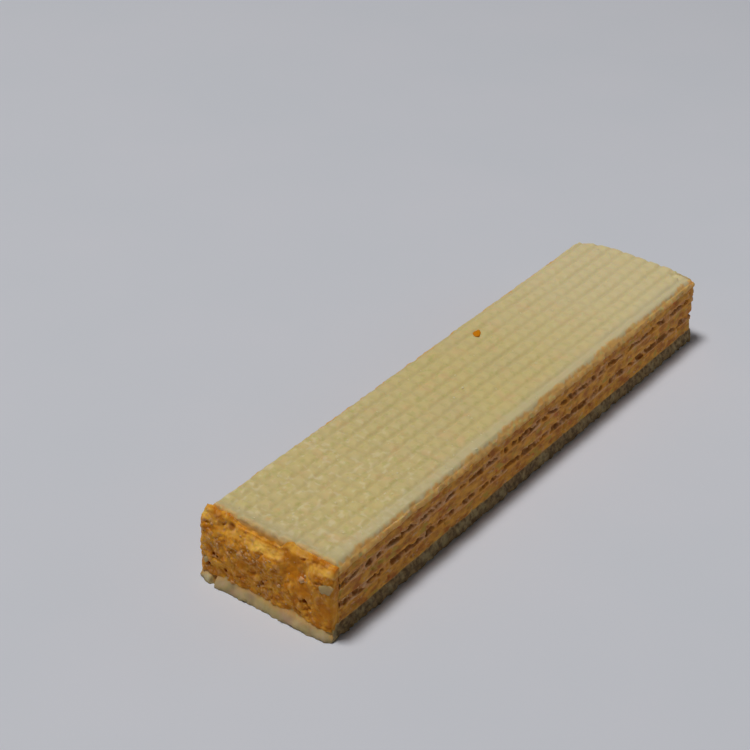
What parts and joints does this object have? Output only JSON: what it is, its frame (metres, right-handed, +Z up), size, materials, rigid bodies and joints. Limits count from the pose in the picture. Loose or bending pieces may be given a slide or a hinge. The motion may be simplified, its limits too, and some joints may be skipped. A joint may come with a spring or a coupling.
{
  "type": "cheese cream wafer biscuit",
  "caption": "Oblong cheese biscuit lying flat: waffled wafer sheets stacked with orange cheese cream, which is smeared over one rough end.",
  "frame": {"origin": "under the middle of the biscuit's outline, on the surface that it lies on", "axes": "+X along the biscuit, away from the end smeared with cream; -Y towards the long side that faces the viewer; +Z up, through the layers"},
  "size_m": [0.0796, 0.018, 0.0095],
  "materials": {
    "wafer": "matte, dry, pale straw-coloured baked starch wafer",
    "wafer_cut": "matte, the open, porous, browner inside of a sawn wafer sheet",
    "cheese_cream": "satin, fatty, fine-grained orange cheese cream",
    "cheese_crust": "satin, rough and crumbly orange cheese cream"
  },
  "bodies": {
    "root": {"wafer_bottom": "wafer", "cream_lower": "cheese_cream", "wafer_lower": "wafer_cut", "cream_middle": "cheese_cream", "wafer_upper": "wafer_cut", "cream_upper": "cheese_cream", "wafer_top": "wafer", "cream_end": "cheese_crust"}
  },
  "joints": []
}
